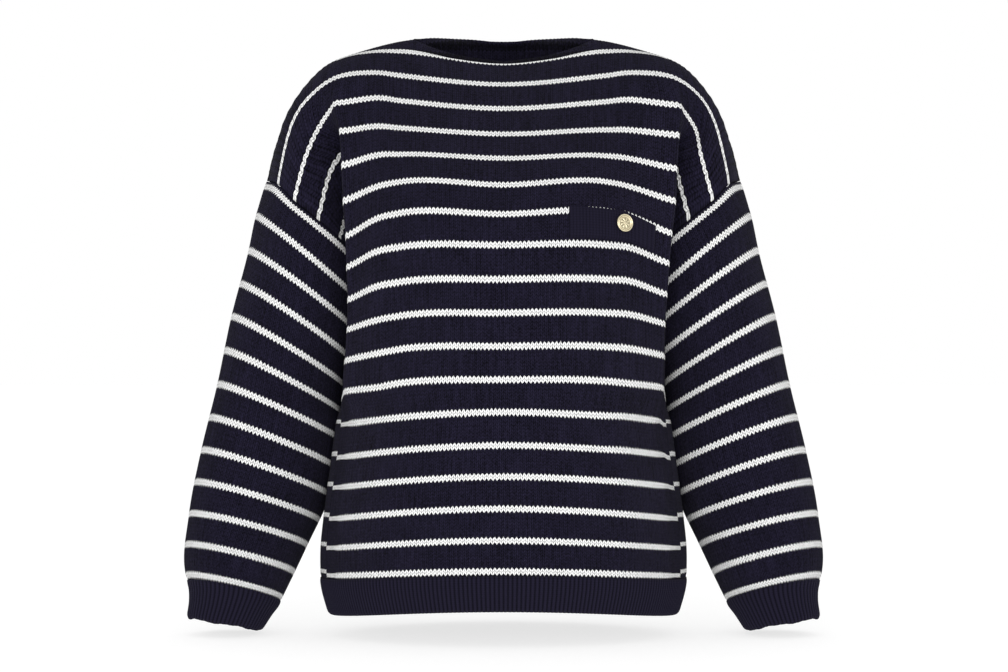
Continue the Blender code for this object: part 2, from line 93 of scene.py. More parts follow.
# Each line runs down the cloth at one wale. Rows: course, out, depth, height
FRONT_CENTRE = (
    (-3, 0, -3, -24), (33, 0, -30, -51), (67, 0, -52, -79), (100, 0, -73, -107), (134, 0, -94, -134),
    (167, 0, -113, -162), (200, 0, -128, -192), (234, 0, -138, -224), (267, 0, -143, -258),
    (334, 0, -142, -325), (367, 0, -141, -358),
)
FRONT_MID = (
    (-18, 109, 13, 0.5), (0, 109, 0, -13), (33, 108, -23, -41), (67, 107, -43, -70), (100, 106, -64, -100),
    (134, 105, -83, -129), (167, 105, -99, -158), (200, 105, -109, -190), (234, 105, -113, -225),
    (267, 104, -114, -260), (334, 104, -113, -328), (367, 105, -112, -362),
)
FRONT_BROW = (
    (-15, 134, 12, -5.5), (0, 136, 0, -13), (33, 135, -24, -38), (67, 134, -43, -67), (100, 133, -61, -98),
    (134, 132, -78, -130), (167, 131, -90, -163), (200, 131, -98, -196), (234, 131, -100, -230),
    (267, 131, -100, -265), (334, 131, -97, -333), (367, 131, -95, -367),
)
FRONT_CREST = (
    (-11, 167, 9, -16.5), (0, 169, 1, -19), (33, 172, -26, -42), (67, 176, -42, -73), (100, 170, -58, -103),
    (134, 167, -68, -140), (167, 165, -76, -177), (200, 162, -80, -213), (234, 161, -80, -245),
    (267, 160, -78, -278), (301, 161, -74, -309), (334, 162, -71, -340), (367, 161, -71, -371),
)
FRONT_VALLEY = (
    (-8, 195, 7, -31.5), (0, 197, 0, -35), (33, 199, -26, -59), (67, 192, -32, -95), (100, 164, -26, -113),
    (134, 153, -28, -158), (167, 148, -36, -190), (200, 145, -42, -221), (234, 146, -45, -252),
    (267, 149, -52, -284), (301, 156, -56, -315), (334, 163, -58, -345), (367, 166, -60, -375),
)
FRONT_DROP = (
    (-5, 229, 4, -79), (0, 230, -2, -81), (33, 222, -28, -92), (67, 206, -41, -128), (100, 181, -32, -142),
    (134, 164, -25, -184), (167, 151, -28, -208), (200, 144, -26, -234), (234, 147, -27, -264),
    (267, 151, -33, -295), (301, 158, -40, -324), (334, 164, -46, -352), (367, 168, -50, -380),
)
BACK_CENTRE = (
    (-10, 0, 74, 7), (33, 0, 90, -33), (67, 0, 98, -65), (100, 0, 104, -98), (167, 0, 108, -165),
    (234, 0, 108, -232), (301, 0, 108, -299), (367, 0, 110, -365),
)
BACK_MID = (
    (-18, 109, 13, 0.5), (33, 107, 50, -31), (67, 106, 68, -58), (100, 106, 79, -89), (134, 106, 85, -122),
    (167, 106, 88, -155), (234, 106, 90, -222), (301, 106, 90, -289), (367, 105, 91, -355),
)
BACK_BLADE = (
    (-11, 167, 9, -16.5), (33, 172, 36, -51), (67, 173, 50, -80), (100, 172, 58, -110),
    (134, 170, 62, -142), (167, 168, 64, -174), (234, 164, 63, -240), (301, 162, 60, -307),
    (367, 161, 55, -370),
)
BACK_VALLEY = (
    (-8, 195, 7, -31.5), (33, 195, 32, -66), (67, 188, 41, -98), (100, 178, 46, -128), (134, 166, 50, -162),
    (167, 157, 50, -192), (200, 151, 46, -222), (234, 152, 42, -252), (301, 162, 36, -314),
    (367, 166, 34, -377),
)
BACK_DROP = (
    (-5, 229, 4, -79), (33, 219, 31, -96), (67, 204, 41, -130), (100, 186, 44, -156), (134, 167, 40, -188),
    (167, 154, 33, -211), (200, 148, 21, -235), (234, 152, 16, -264), (301, 162, 6, -320),
    (367, 169.5, -2, -380),
)
# Half of the armhole seam, from its top to the underarm; the back half is its mirror image
ARMHOLE = (
    (-3, 252, 0, -150), (33, 237, -34, -156), (67, 218, -46, -174), (100, 193, -50, -194),
    (134, 170, -42, -213), (167, 156, -24, -230), (197, 148, 0, -242),
)
SIDE_SEAM = (
    (197, 148, 0, -242), (234, 151.5, -6, -274), (267, 156, -14, -303), (301, 161, -24, -330),
    (334, 165, -33, -356), (367, 169, -40, -381),
)
# The lower body is a ring at each course
# Rows: course, half width, front depth, back depth, front height, side height, back height
LOWER_BODY = (
    (401, 177.5, 139, 113, -391, -409, -398), (434, 182, 137, 117, -424, -443, -431),
    (468, 186.5, 134, 121, -456, -475, -464), (501, 190.5, 131, 125, -488, -507, -497),
    (534, 193.5, 127, 128, -520, -537, -529), (567, 193.5, 122, 127, -551, -565, -561),
    (577, 193, 121, 126.5, -561, -574, -571), (619, 184.5, 112, 118, -595, -609, -613),
)
# How far each line has turned round the lower body, in degrees from the middle of its own panel
FRONT_TURNS = {"centre": 0, "mid": 34.5, "brow": 45, "crest": 60, "valley": 65.5, "drop": 69.5}
BACK_TURNS = {"centre": 0, "mid": 35, "blade": 64, "valley": 77, "drop": 92}
SIDE_TURN = 73.5

# Rows: wale, course, out, depth, height. The last row of each rim is the neck point of the shoulder
FRONT_RIM = ((0, -3, 0, -3, -24), (52, -4, 51.5, 1, -15.5), (80, -10, 79, 8, -6), (97, -18, 97, 14, 2.5))
BACK_RIM = ((0, -10, 0, 74, 7), (52, -10, 52, 66, 7), (80, -13, 79, 44, 5.5), (97, -18, 97, 14, 2.5))
SHOULDER = (
    (97, -18, 97, 14, 2.5), (110, -18, 109, 13, 0.5), (137, -15, 134, 12, -5.5), (172, -11, 167, 9, -16.5),
    (205, -8, 195, 7, -31.5), (245, -5, 229, 4, -79), (265, -4, 243, 2, -113), (285, -3, 252, 0, -150),
)
# How the front differs on the photo's right: the fold under the arm lies further out, and the cloth sits
# a little lower above it and higher below it. Rows: course, fold out, up
RIGHT_SIDE = (
    (-11, 0, 0), (33, 3, 0), (67, 8, -2), (100, 12, -4), (134, 12, -3.5), (167, 12, 0), (200, 11, 3),
    (234, 9, 4), (267, 8, 5.5), (301, 5, 6), (334, 2, 5), (367, 0, 4), (401, 0, 3), (434, 0, 2),
    (501, 0, 0),
)

# Rows down the sleeve: course, outer out, outer height, inner out, inner height, half depth, front lift,
# inner back. The inner side lies further back than the outer one, behind the body's side
SLEEVE = (
    (31, 262, -188, 156, -274, 54, 6, 0), (63, 270, -226, 160.5, -306, 54, 8, 5),
    (125, 288, -295, 170.5, -367, 52, 9, 24), (188, 303, -367, 176.5, -425, 50, 9, 30),
    (250, 320, -436.5, 187, -485, 48, 11, 33), (313, 333, -504.5, 210.5, -538.5, 45, 11.5, 25),
    (376, 336, -570, 236, -593, 42, 11, 8), (386, 333, -580.5, 239.5, -600, 41.5, 10.5, 6),
    (402, 332, -593, 246, -609, 40, 8, 3), (428, 334.8, -614, 258, -628, 36, 5, 0),
)
SLEEVE_TOP = -6.0
# Beside the crest of the fold under the arm the cloth runs straight. Rows: course, sharpness
FOLD_SHARPNESS = ((33, 0), (67, 1), (267, 1), (334, 0.3), (401, 0))
CREST_WALE = 172
FLANK_REACH = 8.0
FOLD_WALES = (172, 205)
RIGHT_SIDE_WALE = 140
TOP_BAND = 33.0
ROW_STEP = 5.0
EVEN_COURSES = np.arange(100.0, 560.0, 33.4)
SLEEVE_WALES = 100

# Ribs
HEM_RIBS = 264
CUFF_RIBS = 60
HEM_RIB_PITCH = 3.8
CUFF_RIB_PITCH = 3.7
BAND_RIB_PITCH = 3.7
RIB_HEIGHT = 1.1
RIB_STEPS = 6
TURN_IN = 2.0
EDGE_WAVE = 0.7
TURN_IN_REACH = 7.0

# The pocket band and its button
BAND_WALES = (68.0, 158.5)
BAND_BOTTOM = 228.5
# The band's top edge. Rows: wale, course
BAND_TOP = ((68, 195.6), (82, 196.0), (92, 197.6), (115, 197.6), (126, 196.2), (138, 198.4), (158.5, 199.6))
BAND_WALL = 2.0
BAND_RIBS = 26
BAND_SCALE = BAND_RIBS * BAND_RIB_PITCH / (BAND_WALES[1] - BAND_WALES[0])
BUTTON_PLACE = (128.5, 211.0)
BUTTON_RADIUS = 9.0
BUTTON_FACE = 2.6
SHANK_LENGTH = 1.4

NAVY = (0.0094, 0.0081, 0.0190)
NAVY_DARK = (0.0086, 0.0075, 0.0165)
OFF_WHITE = (0.98, 0.98, 0.975)
BRASS = (0.94, 0.84, 0.58)
BRASS_DARK = (0.10, 0.07, 0.02)
PETALS = 8.0
PALE = (0.40, 0.40, 0.40)
WHITE = (1.0, 1.0, 1.0)
FLOOR_GLOW = 0.73
SURROUNDINGS = 0.75
FLOOR_DROP = 0.001

DOWN = np.array((0.0, 0.0, -1.0))


def smooth(places, points, wanted):
    """Points at the wanted places of a smooth curve through the given ones."""
    places = np.asarray(places, float)
    points = np.asarray(points, float)
    wanted = np.atleast_1d(np.asarray(wanted, float))
    steps = np.diff(places)
    chords = np.diff(points, axis=0) / steps[:, None]
    tangents = np.empty_like(points)
    tangents[0] = chords[0]
    tangents[-1] = chords[-1]
    before = steps[:-1, None]
    after = steps[1:, None]
    tangents[1:-1] = (after * chords[:-1] + before * chords[1:]) / (before + after)
    left = np.clip(np.searchsorted(places, wanted, side="right") - 1, 0, len(places) - 2)
    step = steps[left][:, None]
    t = ((wanted - places[left]) / step[:, 0])[:, None]
    return (
        (2 * t**3 - 3 * t**2 + 1) * points[left]
        + (t**3 - 2 * t**2 + t) * step * tangents[left]
        + (3 * t**2 - 2 * t**3) * points[left + 1]
        + (t**3 - t**2) * step * tangents[left + 1]
    )


def at(table, places):
    """The other columns of a table at places of its first column, a row for each place."""
    rows = np.array(table, float)
    return smooth(rows[:, 0], rows[:, 1:], places)


def lower_body(courses, turns):
    """Places on the lower body's rings; turns are in degrees round from the middle of the front."""
    half_width, front, back, front_height, side_height, back_height = at(LOWER_BODY, courses).T
    angle = np.radians(turns)
    in_front = np.cos(angle) > 0
    depth = -np.where(in_front, front, back) * np.cos(angle)
    end_height = np.where(in_front, front_height, back_height)
    height = end_height + (side_height - end_height) * np.sin(angle) ** 2
    return np.stack((half_width * np.sin(angle), depth, height), axis=-1)


def with_lower_rows(table, turn):
    """A line's own table, followed by its places round the lower body."""
    courses = [row[0] for row in LOWER_BODY]
    places = lower_body(courses, np.full(len(courses), float(turn)))
    return tuple(table) + tuple((course, *place) for course, place in zip(courses, places))


FRONT_LINES = {
    0: with_lower_rows(FRONT_CENTRE, FRONT_TURNS["centre"]),
    110: with_lower_rows(FRONT_MID, FRONT_TURNS["mid"]),
    140: with_lower_rows(FRONT_BROW, FRONT_TURNS["brow"]),
    172: with_lower_rows(FRONT_CREST, FRONT_TURNS["crest"]),
    205: with_lower_rows(FRONT_VALLEY, FRONT_TURNS["valley"]),
    245: with_lower_rows(FRONT_DROP, FRONT_TURNS["drop"]),
}
BACK_LINES = {
    0: with_lower_rows(BACK_CENTRE, 180 - BACK_TURNS["centre"]),
    110: with_lower_rows(BACK_MID, 180 - BACK_TURNS["mid"]),
    172: with_lower_rows(BACK_BLADE, 180 - BACK_TURNS["blade"]),
    205: with_lower_rows(BACK_VALLEY, 180 - BACK_TURNS["valley"]),
    245: with_lower_rows(BACK_DROP, 180 - BACK_TURNS["drop"]),
}
SEAM_LINE = with_lower_rows(SIDE_SEAM, SIDE_TURN)


def panel_ends(courses, is_front):
    """Places of a panel's side edge: the armhole seam, and the side seam below the underarm."""
    courses = np.asarray(courses, float)
    armhole = at(ARMHOLE, np.clip(courses, ARMHOLE[0][0], UNDERARM))
    if not is_front:
        armhole[:, 1] *= -1
    side = at(SEAM_LINE, np.maximum(courses, UNDERARM))
    return np.where((courses >= UNDERARM)[:, None], side, armhole)


def panel_surface(courses, wales, is_front):
    """Outer face of a panel at each course and wale."""
    courses = np.asarray(courses, float)
    lines = FRONT_LINES if is_front else BACK_LINES
    columns = [at(table, courses) for table in lines.values()] + [panel_ends(courses, is_front)]
    stations = list(lines) + [PANEL_END]
    out, up = at(RIGHT_SIDE, np.clip(courses, RIGHT_SIDE[0][0], RIGHT_SIDE[-1][0])).T
    left = []
    right = []
    for station, column in zip(stations, columns):
        left.append(column * (-1, 1, 1))
        moved = column.copy()
        if is_front and 0 < station < PANEL_END:
            moved[:, 0] += out if station in FOLD_WALES else 0.0
            moved[:, 2] += up * min(1.0, station / RIGHT_SIDE_WALE) ** 3 if station <= FOLD_WALES[-1] else 0.0
        right.append(moved)
    places = [-station for station in stations[:0:-1]] + stations
    points = np.array(left[:0:-1] + right)
    if is_front:
        places, points = with_flanks(courses, places, points)
    flat = smooth(places, points.reshape(len(places), -1), wales)
    return flat.reshape(len(wales), len(courses), 3).transpose(1, 0, 2)


def with_flanks(courses, stations, points):
    """The same lines, with one on each side of the fold's crests that makes them sharp."""
    sharpness = np.interp(courses, *np.transpose(FOLD_SHARPNESS))[:, None]
    flanks = {station: line for station, line in zip(stations, points)}
    for crest in (-CREST_WALE, CREST_WALE):
        index = stations.index(crest)
        for step in (-1, 1):
            wale = crest + step * FLANK_REACH
            share = FLANK_REACH / abs(stations[index + step] - crest)
            straight = points[index] + (points[index + step] - points[index]) * share
            curved = smooth(stations, points.reshape(len(points), -1), wale).reshape(-1, 3)
            flanks[wale] = curved + (straight - curved) * sharpness
    ordered = sorted(flanks)
    return ordered, np.array([flanks[wale] for wale in ordered])


def top_edge(wales, is_front):
    """Courses and places of a panel's top edge: the neck rim, then the shoulder seam."""
    across = np.abs(wales)
    rim = FRONT_RIM if is_front else BACK_RIM
    neck_point = rim[-1][0]
    rows = np.where(
        (across < neck_point)[:, None],
        at(rim, np.minimum(across, neck_point)),
        at(SHOULDER, np.maximum(across, neck_point)),
    )
    places = rows[:, 1:].copy()
    places[:, 0] *= np.where(wales < 0, -1.0, 1.0)
    return rows[:, 0], places


def unit(vectors):
    return vectors / np.linalg.norm(vectors, axis=-1, keepdims=True)


def normals_of(grid, wraps, flip):
    """Unit normal at each point of a grid of rows."""
    down = np.gradient(grid, axis=0)
    if wraps:
        across = (np.roll(grid, -1, axis=1) - np.roll(grid, 1, axis=1)) / 2
    else:
        across = np.gradient(grid, axis=1)
    normal = unit(np.cross(down, across))
    return -normal if flip else normal


def lean_away(inward, toward):
    """Take out of inward directions what points at the piece across a seam."""
    toward = unit(np.asarray(toward, float))
    across = np.maximum(0.0, inward @ toward)
    return unit(inward - across[..., None] * toward)


def armhole_axis(side):
    """Direction out of the armhole, down the sleeve."""
    top = np.array(ARMHOLE[0][1:], float)
    bottom = np.array(ARMHOLE[-1][1:], float)
    across = unit(top - bottom)
    return np.array((side * across[2], 0.0, -across[0]))


def seam_dip(distance):
    """How far cloth is drawn in at a distance from a seam."""
    return SEAM_DIP * np.exp(-((np.asarray(distance) / SEAM_DIP_WIDTH) ** 2))


def make_piece(name, points, faces, cloth_places, material):
    """A smooth mesh from points in millimetres, with its cloth coordinates, in place of the CAD node name."""
    mesh = bpy.data.meshes.new(name + "_visual")
    mesh.from_pydata((np.asarray(points) * MM).tolist(), [], faces)
    mesh.update()
    layer = mesh.uv_layers.new(name="cloth")
    corners = np.empty(len(mesh.loops), dtype=np.int32)
    mesh.loops.foreach_get("vertex_index", corners)
    layer.data.foreach_set("uv", np.asarray(cloth_places, dtype=np.float32)[corners].ravel())
    mesh.polygons.foreach_set("use_smooth", [True] * len(mesh.polygons))
    mesh.materials.append(material)
    piece = bpy.data.objects.new(name + "_visual", mesh)
    bpy.context.scene.collection.objects.link(piece)
    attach(piece, "root")
    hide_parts(name)
    return piece


def shell(name, outer, inner, cloth_places, wraps, flip, material, round_ends=(0, -1)):
    """A closed wall between two grids of points, with its first and last rows rounded over where named."""
    for end in round_ends:
        outer, inner, cloth_places = rounded(outer, inner, cloth_places, end)
    rows, columns = outer.shape[:2]
    last = columns if wraps else columns - 1
    index = np.arange(rows * columns).reshape(rows, columns)
    here = index[:, :last]
    following = np.roll(index, -1, axis=1)[:, :last]
    quads = np.stack((here[:-1], following[:-1], following[1:], here[1:]), axis=-1).reshape(-1, 4)
    offset = rows * columns
    if flip:
        quads = quads[:, ::-1]
    sides = [quads[:, ::-1], quads + offset]
    for row, turned in ((0, flip), (rows - 1, not flip)):
        rim = np.stack((here[row], here[row] + offset, following[row] + offset, following[row]), axis=-1)
        sides.append(rim[:, ::-1] if turned else rim)
    if not wraps:
        for column, turned in ((0, flip), (columns - 1, not flip)):
            low = index[:-1, column]
            high = index[1:, column]
            rim = np.stack((low, high, high + offset, low + offset), axis=-1)
            sides.append(rim[:, ::-1] if turned else rim)
    faces = np.concatenate(sides).tolist()
    points = np.concatenate((outer.reshape(-1, 3), inner.reshape(-1, 3)))
    cloth = np.concatenate((cloth_places.reshape(-1, 2), cloth_places.reshape(-1, 2)))
    return make_piece(name, points, faces, cloth, material)


def rounded(outer, inner, cloth_places, end):
    """The two faces of a wall with a bead's rows added at its first (0) or last (-1) row."""
    following = 1 if end == 0 else -2
    middle = (outer[end] + inner[end]) / 2
    half = (outer[end] - inner[end]) / 2
    span = outer[end] - outer[following]
    back = unit(span) * np.minimum(EDGE_ROUND, 0.4 * np.linalg.norm(span, axis=-1, keepdims=True))
    angles = np.radians((0, 30, 60))
    outer_rows = np.array([middle + half * math.cos(a) + back * (math.sin(a) - 1) for a in angles])
    inner_rows = np.array([middle - half * math.cos(a) + back * (math.sin(a) - 1) for a in angles])
    cloth_rows = np.repeat(cloth_places[end][None], len(angles), axis=0)
    if end == 0:
        return (np.concatenate((outer_rows[::-1], outer[1:])), np.concatenate((inner_rows[::-1], inner[1:])),
                np.concatenate((cloth_rows, cloth_places[1:])))
    return (np.concatenate((outer[:-1], outer_rows)), np.concatenate((inner[:-1], inner_rows)),
            np.concatenate((cloth_places[:-1], cloth_rows)))


class Nodes:
    """Small helper to write a material's nodes as sums."""

    def __init__(self, name):
        self.material = bpy.data.materials.new(name)
        self.material.use_nodes = True
        self.tree = self.material.node_tree
        self.shader = self.tree.nodes["Principled BSDF"]

    def put(self, socket, value):
        if isinstance(value, bpy.types.NodeSocket):
            self.tree.links.new(value, socket)
        else:
            socket.default_value = value

    def math(self, operation, *values):
        node = self.tree.nodes.new("ShaderNodeMath")
        node.operation = operation
        for socket, value in zip(node.inputs, values):
            self.put(socket, value)
        return node.outputs[0]

    def mix(self, factor, first, second):
        node = self.tree.nodes.new("ShaderNodeMix")
        node.data_type = "RGBA"
        self.put(node.inputs["Factor"], factor)
        self.put(node.inputs["A"], first)
        self.put(node.inputs["B"], second)
        return node.outputs["Result"]

    def noise(self, vector, scale, detail, roughness=0.5):
        node = self.tree.nodes.new("ShaderNodeTexNoise")
        self.put(node.inputs["Vector"], vector)
        node.inputs["Scale"].default_value = scale
        node.inputs["Detail"].default_value = detail
        node.inputs["Roughness"].default_value = roughness
        return node.outputs["Fac"]

    def stretched(self, vector, across, down):
        """Cloth coordinates scaled differently across and down."""
        node = self.tree.nodes.new("ShaderNodeVectorMath")
        node.operation = "MULTIPLY"
        self.put(node.inputs[0], vector)
        node.inputs[1].default_value = (across, down, 1.0)
        return node.outputs["Vector"]

    def clamp(self, value):
        node = self.tree.nodes.new("ShaderNodeClamp")
        self.put(node.inputs["Value"], value)
        return node.outputs["Result"]

    def bump(self, height, strength, distance):
        node = self.tree.nodes.new("ShaderNodeBump")
        node.inputs["Strength"].default_value = strength
        node.inputs["Distance"].default_value = distance
        self.put(node.inputs["Height"], height)
        self.put(self.shader.inputs["Normal"], node.outputs["Normal"])

    def cotton(self):
        """The dull finish of cotton yarn."""
        self.shader.inputs["Roughness"].default_value = 0.95
        self.shader.inputs["Specular IOR Level"].default_value = 0.06
        self.shader.inputs["Sheen Weight"].default_value = 0.02
        self.shader.inputs["Sheen Roughness"].default_value = 0.5

    def cloth(self):
        """The wale and course of a point, in millimetres."""
        node = self.tree.nodes.new("ShaderNodeUVMap")
        node.uv_map = "cloth"
        split = self.tree.nodes.new("ShaderNodeSeparateXYZ")
        self.tree.links.new(node.outputs["UV"], split.inputs[0])
        return node.outputs["UV"], split.outputs["X"], split.outputs["Y"]


def four(colour):
    return (*colour, 1.0)


def knit_material(name, repeat, first_course, neck_edge, is_body):
    """Stockinette with stripes: columns of V-shaped stitches, and yarn that changes colour by the course.

    The lobes on a stripe's upper edge stand over the notches of its lower edge. The colour also holds painted
    shade: darker grooves between the stitches, and a dark outline in the navy round each stripe.
    """
    nodes = Nodes(name)
    uv, across, down = nodes.cloth()
    turn = nodes.math("MULTIPLY", across, math.pi / WALE)
    middle = nodes.math("MULTIPLY", nodes.math("PINGPONG", nodes.math("DIVIDE", across, WALE), 0.5), 2.0)
    between = nodes.math("SUBTRACT", 1.0, middle)
    far = nodes.clamp(nodes.math("MULTIPLY_ADD", nodes.math("ABSOLUTE", across), 1 / 30, -175 / 30))
    rise = nodes.math("MULTIPLY_ADD", far, -0.5 * STITCH_RISE if is_body else 0.0, STITCH_RISE)
    nearest = nodes.math("MULTIPLY", nodes.math("ROUND", nodes.math("DIVIDE", down, repeat)), repeat)
    fray = nodes.math("MULTIPLY_ADD", nodes.noise(uv, 0.55, 2.0, 0.6), FRAY, -FRAY / 2)
    off = nodes.math("ADD", nodes.math("SUBTRACT", down, nearest), fray)
    above = nodes.math("ADD", off, nodes.math("MULTIPLY_ADD", between, rise, STRIPE_CORE / 2))
    below = nodes.math("SUBTRACT", nodes.math("MULTIPLY_ADD", middle, rise, STRIPE_CORE / 2), off)
    inside = nodes.math("MINIMUM", above, below)
    edge = nodes.clamp(nodes.math("MULTIPLY_ADD", inside, 2.5, 0.5))
    striped = nodes.math("GREATER_THAN", down, first_course)
    white = nodes.math("MULTIPLY", edge, striped)
    if neck_edge:
        out = nodes.math("ABSOLUTE", across)
        near_neck = nodes.math("LESS_THAN", down, repeat / 2)
        rolled = nodes.math("MULTIPLY_ADD", nodes.math("MAXIMUM", out, 56.0), -0.096, 6.4)
        hidden = nodes.math("MULTIPLY", near_neck, nodes.math("LESS_THAN", down, rolled))
        hidden = nodes.math("MAXIMUM", hidden, nodes.math("MULTIPLY", near_neck, nodes.math("GREATER_THAN", out, 186.0)))
        white = nodes.math("MULTIPLY", white, nodes.math("SUBTRACT", 1.0, hidden))
    slant = nodes.math("MULTIPLY", nodes.math("SUBTRACT", middle, between), STITCH_RISE / 2)
    along = nodes.math("SUBTRACT", off, slant)
    in_course = nodes.math("ABSOLUTE", nodes.math("SINE", nodes.math("MULTIPLY", along, math.pi / COURSE)))
    leg = nodes.math("ABSOLUTE", nodes.math("SINE", nodes.math("MULTIPLY", turn, 2.0)))
    stitch = nodes.math("MULTIPLY", nodes.math("POWER", in_course, 0.5), nodes.math("POWER", leg, 0.4))
    fibre = nodes.noise(uv, 1.6, 3.0, 0.7)
    height = nodes.math("MULTIPLY_ADD", fibre, 0.5, stitch)
    nodes.bump(height, 0.8, 0.0008)
    cloudy = nodes.noise(uv, 0.03, 2.0)
    uneven = nodes.noise(uv, 0.33, 2.0)
    column = nodes.noise(nodes.stretched(uv, 1.0, 0.06), 0.45, 2.0)
    # Painted shade: the stitch pattern darkens the navy in the grooves between the stitch legs and between the
    # courses; the bump above raises the same pattern.
    shade = nodes.math("MULTIPLY_ADD", stitch, 0.7, nodes.math("MULTIPLY_ADD", fibre, 0.9, -0.45))
    shade = nodes.math("ADD", shade, nodes.math("MULTIPLY_ADD", uneven, 1.1, -0.55))
    shade = nodes.math("ADD", shade, nodes.math("MULTIPLY_ADD", column, 0.9, -0.45))
    shade = nodes.math("ADD", shade, nodes.math("MULTIPLY_ADD", cloudy, 0.4, -0.15))
    # Painted shade: a dark outline in the navy that fades out over about 1.5 mm round each white stripe.
    rim = nodes.clamp(nodes.math("MULTIPLY_ADD", inside, 0.7, 1.1))
    shade = nodes.clamp(nodes.math("SUBTRACT", shade, nodes.math("MULTIPLY", rim, 0.45)))
    navy = nodes.mix(shade, four([c * 0.12 for c in NAVY]), four([c * 1.85 for c in NAVY]))
    # Painted shade: the same stitch pattern greys the white yarn in the grooves between the stitches.
    light = nodes.math("MULTIPLY_ADD", stitch, 1.4, nodes.math("MULTIPLY_ADD", uneven, 1.0, -0.68))
    light = nodes.math("ADD", light, nodes.math("MULTIPLY_ADD", fibre, 0.5, -0.2))
    pale = nodes.mix(nodes.clamp(light), four([c * 0.22 for c in OFF_WHITE]), four(OFF_WHITE))
    nodes.put(nodes.shader.inputs["Base Color"], nodes.mix(white, navy, pale))
    nodes.cotton()
    return nodes.material


def rib_material(name, pitch, groove_shade=0.8):
    """Knitted rib: the grooves between the ribs darkened as painted shade, fine courses across them with faint
    painted shade between them, and fibre.
    """
    nodes = Nodes(name)
    uv, across, down = nodes.cloth()
    in_course = nodes.math("ABSOLUTE", nodes.math("SINE", nodes.math("MULTIPLY", down, math.pi / RIB_COURSE)))
    fibre = nodes.noise(uv, 1.6, 3.0, 0.7)
    nodes.bump(nodes.math("MULTIPLY_ADD", fibre, 0.5, nodes.math("MULTIPLY", in_course, 0.4)), 0.5, 0.0005)
    rib = nodes.math("ABSOLUTE", nodes.math("SINE", nodes.math("MULTIPLY", across, math.pi / pitch)))
    # Painted shade: the navy is darkened in the grooves between the ribs, by an amount the third argument sets,
    # and faintly between the courses.
    shade = nodes.math("MULTIPLY_ADD", fibre, 1.0, nodes.math("MULTIPLY_ADD", in_course, 0.25, -0.55))
    shade = nodes.math("MULTIPLY_ADD", rib, groove_shade, nodes.math("ADD", shade, 0.6 * (0.8 - groove_shade)))
    colour = nodes.mix(nodes.clamp(shade), four([c * 0.3 for c in NAVY_DARK]), four([c * 1.6 for c in NAVY_DARK]))
    nodes.put(nodes.shader.inputs["Base Color"], colour)
    nodes.cotton()
    return nodes.material


def brass_material():
    nodes = Nodes("button_brass_detail")
    place = nodes.tree.nodes.new("ShaderNodeTexCoord").outputs["Object"]
    wear = nodes.noise(place, 900.0, 4.0)
    colour = nodes.mix(wear, four([c * 0.8 for c in BRASS]), four(BRASS))
    uv, share, turn = nodes.cloth()
    petal = nodes.math("LESS_THAN", nodes.math("COSINE", nodes.math("MULTIPLY", turn, PETALS)), -0.1)
    rosette = nodes.math("MULTIPLY", nodes.math("COMPARE", share, 0.38, 0.18), petal)
    grooves = nodes.math("MAXIMUM", nodes.math("COMPARE", share, 0.815, 0.03), rosette)
    grooves = nodes.math("MAXIMUM", nodes.math("COMPARE", share, 0.64, 0.035), grooves)
    grooves = nodes.math("MAXIMUM", nodes.math("COMPARE", share, 0.14, 0.025), grooves)
    colour = nodes.mix(nodes.math("MULTIPLY", grooves, 0.6), colour, four(BRASS_DARK))
    nodes.put(nodes.shader.inputs["Base Color"], colour)
    nodes.put(nodes.shader.inputs["Roughness"], nodes.math("MULTIPLY_ADD", wear, 0.25, 0.2))
    nodes.shader.inputs["Metallic"].default_value = 1.0
    return nodes.material


def wale_relief(wales, pitch):
    """Height of the cloth's columns of stitches above the grooves between them."""
    return WALE_RELIEF * (1 - np.abs(2 * ((wales / pitch) % 1.0) - 1)) - WALE_RELIEF / 2


def even_columns(is_front):
    """Wales of the panel's columns, half a stitch apart along the cloth, and their distance from the middle."""
    fine = np.linspace(-PANEL_END, PANEL_END, 571)
    lines = panel_surface(EVEN_COURSES, fine, is_front)
    steps = np.linalg.norm(np.diff(lines, axis=1), axis=2).mean(axis=0)
    along = np.concatenate(((0.0,), np.cumsum(steps)))
    along -= np.interp(0.0, fine, along)
    first = math.ceil(along[0] / (WALE / 2))
    last = math.floor(along[-1] / (WALE / 2))
    places = np.arange(first, last + 1) * WALE / 2
    wales = np.interp(places, along, fine)
    wales[0] = -PANEL_END
    wales[-1] = PANEL_END
    return wales, places


